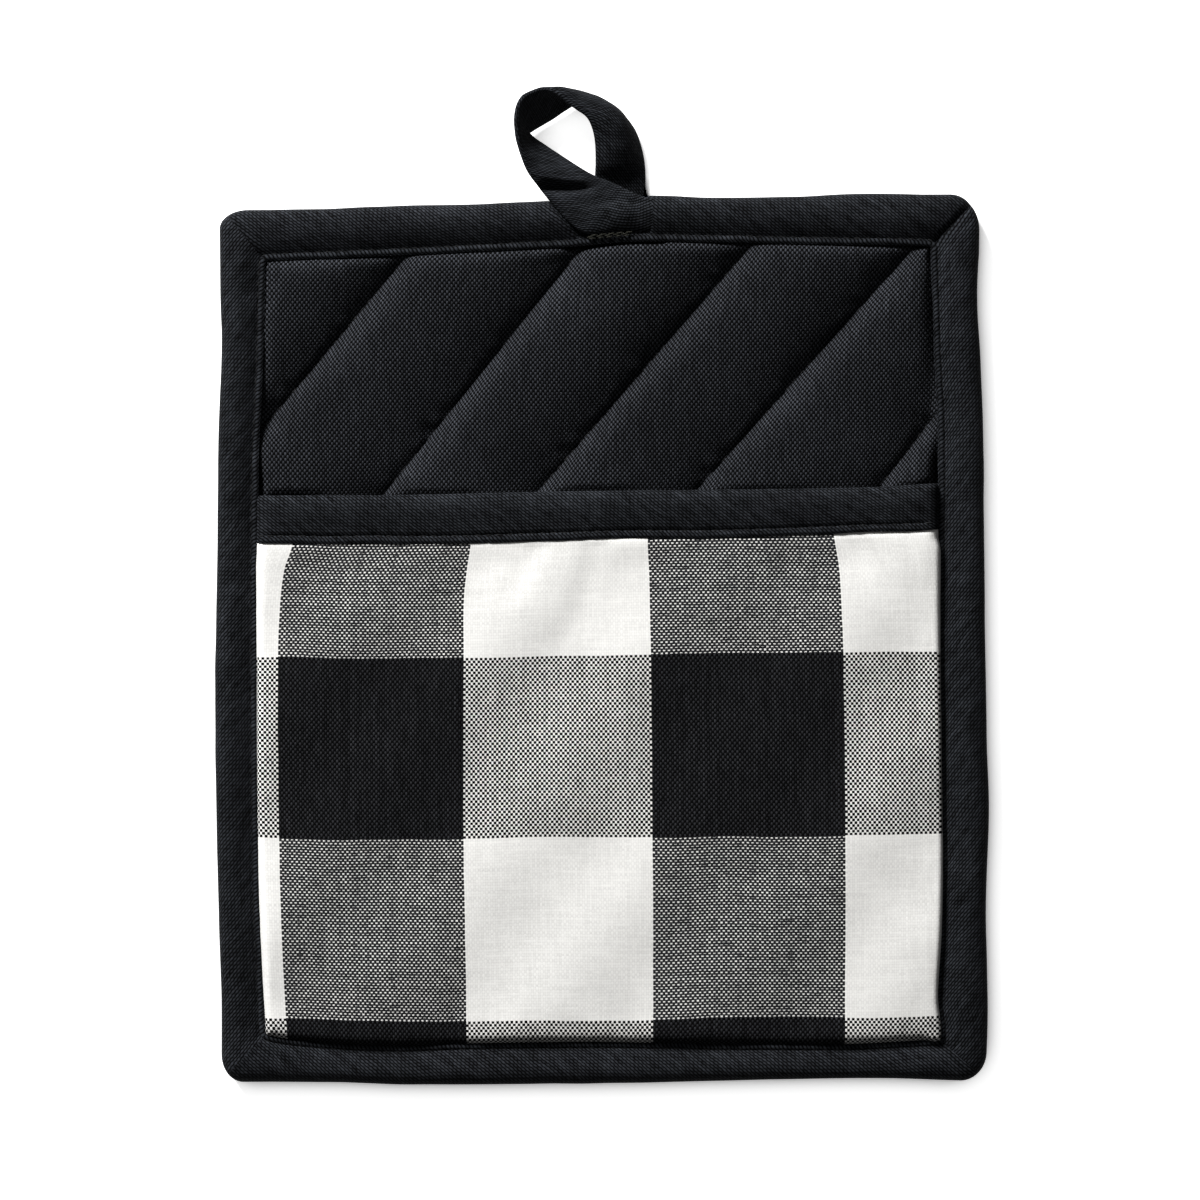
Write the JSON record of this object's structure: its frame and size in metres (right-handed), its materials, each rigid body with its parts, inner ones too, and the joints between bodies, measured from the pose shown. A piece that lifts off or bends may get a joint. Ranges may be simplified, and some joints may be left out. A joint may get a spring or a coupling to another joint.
{
  "type": "pocket pot holder",
  "caption": "Padded square pot holder with slanting quilting, a check cloth hand pocket over its lower part, a folded edge strip with mitred corners and a hanging loop.",
  "frame": {"origin": "centre of the bounding box in X and Y, on the plane that the back lies on", "axes": "+X across the width, +Y up towards the hanging loop, +Z out of the front, away from what it lies on"},
  "size_m": [0.2048, 0.2646, 0.0123],
  "materials": {
    "black_cotton": "plain weave, matt",
    "black_cotton_strip": "plain weave cut on the bias, matt",
    "check_cotton": "yarn-dyed black and white check, plain weave, matt"
  },
  "bodies": {
    "root": {"quilted_pad": "black_cotton", "pocket_panel": "check_cotton", "pocket_binding": "black_cotton_strip", "edge_binding": "black_cotton_strip", "hang_loop": "black_cotton_strip"}
  },
  "joints": []
}
